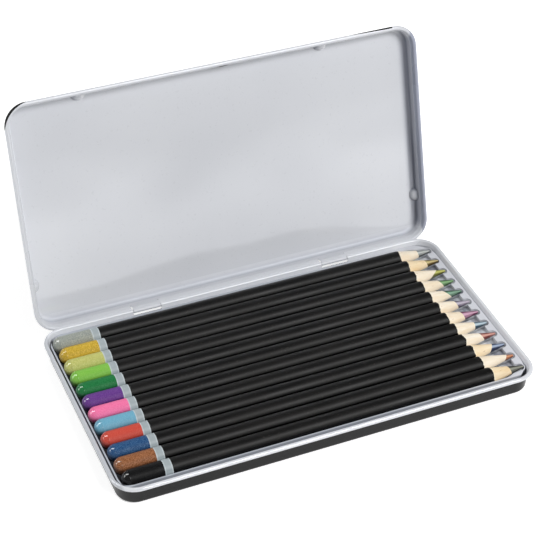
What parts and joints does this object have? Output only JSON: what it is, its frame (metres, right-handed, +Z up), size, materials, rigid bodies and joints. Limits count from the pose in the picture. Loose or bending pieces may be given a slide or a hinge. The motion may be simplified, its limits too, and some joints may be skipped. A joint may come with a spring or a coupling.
{
  "type": "colored pencil tin",
  "caption": "Flat hinged metal tin of round colored pencils lying in a formed plastic tray, with rolled rims, a wire hinge and a lid that opens past upright.",
  "frame": {"origin": "centre of the base pan's flat underside", "axes": "+X along the pencils, from their coloured ends to their points; +Y from the front to the hinge; +Z up"},
  "size_m": [0.184, 0.1364, 0.1026],
  "materials": {
    "black_enamelled_tinplate": "satin black enamel outside, white lacquer inside",
    "white_enamelled_tinplate": "satin white lacquer inside, black enamel outside",
    "steel_wire": "drawn wire",
    "clear_tray_plastic": "vacuum-formed sheet, glossy",
    "casing_wood": "matt black paint, bare pale wood where sharpened",
    "ring_lacquer": "silver-grey lacquer ring",
    "silver_pigment": "waxy coloured lead",
    "silver_lacquer": "dipped coloured lacquer",
    "gold_pigment": "waxy coloured lead",
    "gold_lacquer": "dipped coloured lacquer",
    "lime_pigment": "waxy coloured lead",
    "lime_lacquer": "dipped coloured lacquer",
    "light_green_pigment": "waxy coloured lead",
    "light_green_lacquer": "dipped coloured lacquer",
    "green_pigment": "waxy coloured lead",
    "green_lacquer": "dipped coloured lacquer",
    "purple_pigment": "waxy coloured lead",
    "purple_lacquer": "dipped coloured lacquer",
    "pink_pigment": "waxy coloured lead",
    "pink_lacquer": "dipped coloured lacquer",
    "light_blue_pigment": "waxy coloured lead",
    "light_blue_lacquer": "dipped coloured lacquer",
    "coral_pigment": "waxy coloured lead",
    "coral_lacquer": "dipped coloured lacquer",
    "dark_blue_pigment": "waxy coloured lead",
    "dark_blue_lacquer": "dipped coloured lacquer",
    "brown_pigment": "waxy coloured lead",
    "brown_lacquer": "dipped coloured lacquer",
    "black_pigment": "waxy coloured lead",
    "black_lacquer": "dipped coloured lacquer"
  },
  "bodies": {
    "base": {"base_pan": "black_enamelled_tinplate", "hinge_wire": "steel_wire"},
    "lid": {"lid_pan": "white_enamelled_tinplate"},
    "tray": {"pencil_tray": "clear_tray_plastic"},
    "silver_pencil": {"silver_casing": "casing_wood", "silver_lead": "silver_pigment", "silver_end_cap": "silver_lacquer", "silver_ring": "ring_lacquer"},
    "gold_pencil": {"gold_casing": "casing_wood", "gold_lead": "gold_pigment", "gold_end_cap": "gold_lacquer", "gold_ring": "ring_lacquer"},
    "lime_pencil": {"lime_casing": "casing_wood", "lime_lead": "lime_pigment", "lime_end_cap": "lime_lacquer", "lime_ring": "ring_lacquer"},
    "light_green_pencil": {"light_green_casing": "casing_wood", "light_green_lead": "light_green_pigment", "light_green_end_cap": "light_green_lacquer", "light_green_ring": "ring_lacquer"},
    "green_pencil": {"green_casing": "casing_wood", "green_lead": "green_pigment", "green_end_cap": "green_lacquer", "green_ring": "ring_lacquer"},
    "purple_pencil": {"purple_casing": "casing_wood", "purple_lead": "purple_pigment", "purple_end_cap": "purple_lacquer", "purple_ring": "ring_lacquer"},
    "pink_pencil": {"pink_casing": "casing_wood", "pink_lead": "pink_pigment", "pink_end_cap": "pink_lacquer", "pink_ring": "ring_lacquer"},
    "light_blue_pencil": {"light_blue_casing": "casing_wood", "light_blue_lead": "light_blue_pigment", "light_blue_end_cap": "light_blue_lacquer", "light_blue_ring": "ring_lacquer"},
    "coral_pencil": {"coral_casing": "casing_wood", "coral_lead": "coral_pigment", "coral_end_cap": "coral_lacquer", "coral_ring": "ring_lacquer"},
    "dark_blue_pencil": {"dark_blue_casing": "casing_wood", "dark_blue_lead": "dark_blue_pigment", "dark_blue_end_cap": "dark_blue_lacquer", "dark_blue_ring": "ring_lacquer"},
    "brown_pencil": {"brown_casing": "casing_wood", "brown_lead": "brown_pigment", "brown_end_cap": "brown_lacquer", "brown_ring": "ring_lacquer"},
    "black_pencil": {"black_casing": "casing_wood", "black_lead": "black_pigment", "black_end_cap": "black_lacquer", "black_ring": "ring_lacquer"}
  },
  "joints": [
    {"name": "lid_hinge", "type": "hinge", "parent": "base", "child": "lid", "pos_m": [0, 0.0491, 0.0089], "axis": [-1, 0, 0], "range_deg": [-108, 0]},
    {"name": "tray_lift", "type": "slide", "parent": "base", "child": "tray", "axis": [0, 0, 1], "range_m": [0, 0.03]},
    {"name": "silver_pencil_lift", "type": "slide", "parent": "tray", "child": "silver_pencil", "axis": [0, 0, 1], "range_m": [0, 0.02]},
    {"name": "gold_pencil_lift", "type": "slide", "parent": "tray", "child": "gold_pencil", "axis": [0, 0, 1], "range_m": [0, 0.02]},
    {"name": "lime_pencil_lift", "type": "slide", "parent": "tray", "child": "lime_pencil", "axis": [0, 0, 1], "range_m": [0, 0.02]},
    {"name": "light_green_pencil_lift", "type": "slide", "parent": "tray", "child": "light_green_pencil", "axis": [0, 0, 1], "range_m": [0, 0.02]},
    {"name": "green_pencil_lift", "type": "slide", "parent": "tray", "child": "green_pencil", "axis": [0, 0, 1], "range_m": [0, 0.02]},
    {"name": "purple_pencil_lift", "type": "slide", "parent": "tray", "child": "purple_pencil", "axis": [0, 0, 1], "range_m": [0, 0.02]},
    {"name": "pink_pencil_lift", "type": "slide", "parent": "tray", "child": "pink_pencil", "axis": [0, 0, 1], "range_m": [0, 0.02]},
    {"name": "light_blue_pencil_lift", "type": "slide", "parent": "tray", "child": "light_blue_pencil", "axis": [0, 0, 1], "range_m": [0, 0.02]},
    {"name": "coral_pencil_lift", "type": "slide", "parent": "tray", "child": "coral_pencil", "axis": [0, 0, 1], "range_m": [0, 0.02]},
    {"name": "dark_blue_pencil_lift", "type": "slide", "parent": "tray", "child": "dark_blue_pencil", "axis": [0, 0, 1], "range_m": [0, 0.02]},
    {"name": "brown_pencil_lift", "type": "slide", "parent": "tray", "child": "brown_pencil", "axis": [0, 0, 1], "range_m": [0, 0.02]},
    {"name": "black_pencil_lift", "type": "slide", "parent": "tray", "child": "black_pencil", "axis": [0, 0, 1], "range_m": [0, 0.02]}
  ]
}
